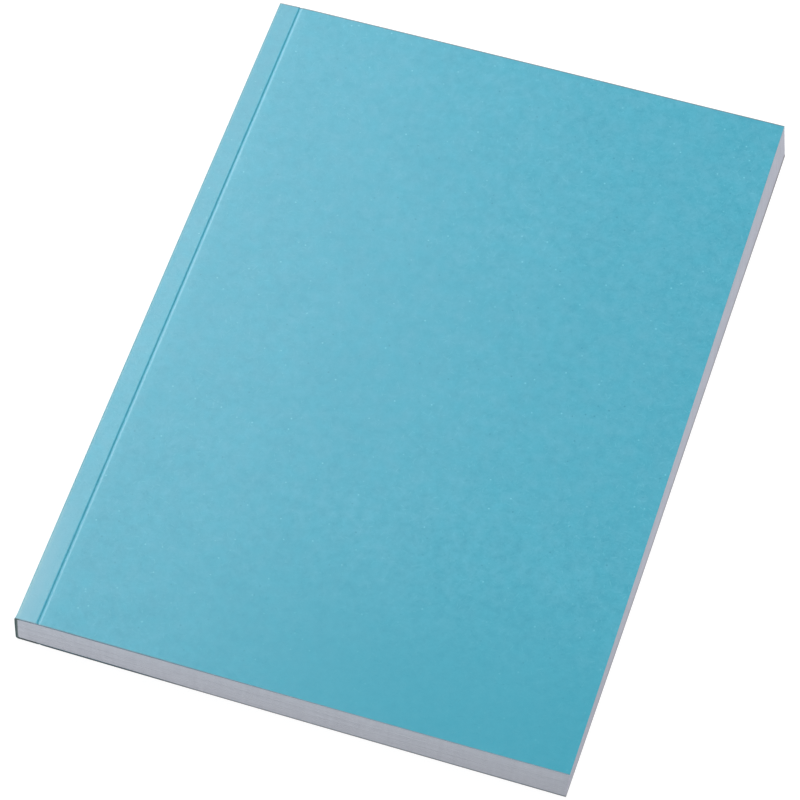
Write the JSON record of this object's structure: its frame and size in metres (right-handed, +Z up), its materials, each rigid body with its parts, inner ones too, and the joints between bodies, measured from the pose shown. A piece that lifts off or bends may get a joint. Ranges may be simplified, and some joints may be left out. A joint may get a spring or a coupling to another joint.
{
  "type": "softcover notebook",
  "caption": "Perfect-bound softcover notebook in plain dyed card, with glued hinge strips, scored hinges and covers that open.",
  "frame": {"origin": "centre of the closed book's footprint, on the surface that it lies on", "axes": "+X from the spine to the fore edge, +Y from the tail to the head, +Z up through the pages from the back cover to the front cover"},
  "size_m": [0.148, 0.21, 0.0114],
  "materials": {
    "cover_card": "matte",
    "page_paper": "matte",
    "hot_melt": "satin"
  },
  "bodies": {
    "book_block": {"text_block": "page_paper", "cover_spine": "cover_card", "binding_glue": "hot_melt"},
    "front_cover": {"front_cover": "cover_card"},
    "back_cover": {"back_cover": "cover_card"}
  },
  "joints": [
    {"name": "front_cover_hinge", "type": "hinge", "parent": "book_block", "child": "front_cover", "pos_m": [-0.06775, 0, 0.0106], "axis": [0, -1, 0], "range_deg": [0, 175]},
    {"name": "back_cover_hinge", "type": "hinge", "parent": "book_block", "child": "back_cover", "pos_m": [-0.06775, 0, 0], "axis": [0, 1, 0], "range_deg": [0, 175]}
  ]
}
